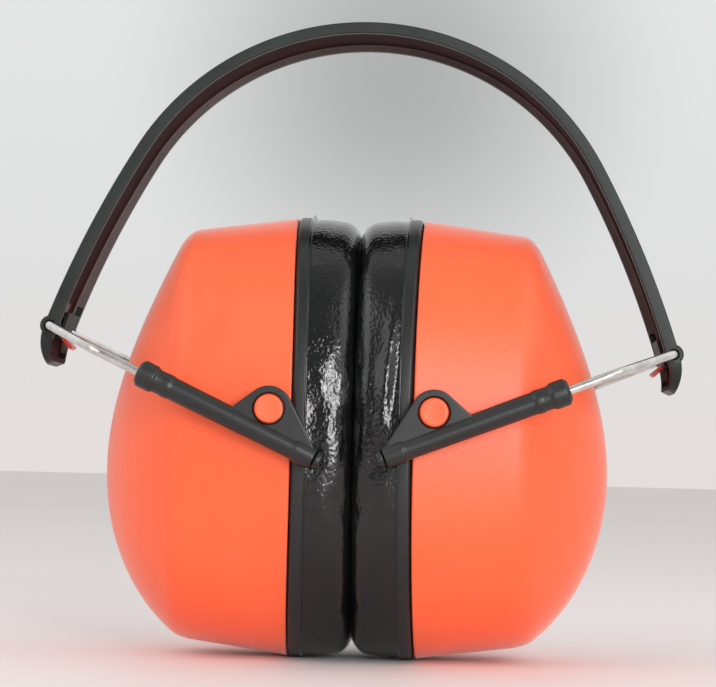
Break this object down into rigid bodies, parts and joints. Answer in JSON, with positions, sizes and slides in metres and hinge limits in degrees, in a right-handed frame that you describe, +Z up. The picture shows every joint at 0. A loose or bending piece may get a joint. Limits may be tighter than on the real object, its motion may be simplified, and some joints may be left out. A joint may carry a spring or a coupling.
{
  "type": "hearing protection earmuffs",
  "caption": "Folding over-head hearing protection earmuffs: two padded cups on wire yokes under a channel-section plastic headband.",
  "frame": {"origin": "middle of the bounding box at its base, with the cups standing on z = 0", "axes": "+Z up to the crown of the headband, +X to the right as seen from the front, +Y away from the viewer, through the cups from their front pivots to their rear pivots"},
  "size_m": [0.168, 0.101, 0.1667],
  "materials": {
    "orange_shell": "satin moulded ABS with a fine spark-eroded grain",
    "black_plastic": "satin moulded nylon, glossier inside the headband",
    "black_vinyl": "glossy wrinkled soft vinyl",
    "steel_wire": "bright drawn steel",
    "grey_foam": "open-cell foam"
  },
  "bodies": {
    "headband": {"headband": "black_plastic", "left_wire_clip": "black_plastic", "right_wire_clip": "black_plastic"},
    "left_yoke": {"left_yoke_wire": "steel_wire"},
    "right_yoke": {"right_yoke_wire": "steel_wire"},
    "left_arms": {"left_front_arm": "black_plastic", "left_front_arm_plug": "black_plastic", "left_rear_arm": "black_plastic", "left_rear_arm_plug": "black_plastic"},
    "right_arms": {"right_front_arm": "black_plastic", "right_front_arm_plug": "black_plastic", "right_rear_arm": "black_plastic", "right_rear_arm_plug": "black_plastic"},
    "left_cup": {"left_cup_shell": "orange_shell", "left_cup_liner": "grey_foam", "left_cushion_plate": "black_plastic", "left_cushion_skin": "black_vinyl", "left_cushion_foam": "grey_foam"},
    "right_cup": {"right_cup_shell": "orange_shell", "right_cup_liner": "grey_foam", "right_cushion_plate": "black_plastic", "right_cushion_skin": "black_vinyl", "right_cushion_foam": "grey_foam"}
  },
  "joints": [
    {"name": "left_yoke_swing", "type": "hinge", "parent": "headband", "child": "left_yoke", "pos_m": [-0.08138, 0, 0.08505], "axis": [0, 1, 0], "range_deg": [0, 48]},
    {"name": "right_yoke_swing", "type": "hinge", "parent": "headband", "child": "right_yoke", "pos_m": [0.08138, 0, 0.08135], "axis": [0, -1, 0], "range_deg": [0, 48]},
    {"name": "left_arm_slide", "type": "slide", "parent": "left_yoke", "child": "left_arms", "axis": [0.907, 0, -0.421], "range_m": [-0.007, 0]},
    {"name": "right_arm_slide", "type": "slide", "parent": "right_yoke", "child": "right_arms", "axis": [-0.9311, 0, -0.3649], "range_m": [-0.007, 0]},
    {"name": "left_cup_tilt", "type": "hinge", "parent": "left_arms", "child": "left_cup", "pos_m": [-0.02099, 0, 0.06385], "axis": [0, 1, 0], "range_deg": [-34, 0]},
    {"name": "right_cup_tilt", "type": "hinge", "parent": "right_arms", "child": "right_cup", "pos_m": [0.01981, 0, 0.06388], "axis": [0, -1, 0], "range_deg": [-34, 0]}
  ],
  "couplings": [
    {"joint": "left_cup_tilt", "follows": "left_yoke_swing", "ratio": -0.7},
    {"joint": "right_cup_tilt", "follows": "right_yoke_swing", "ratio": -0.7}
  ]
}
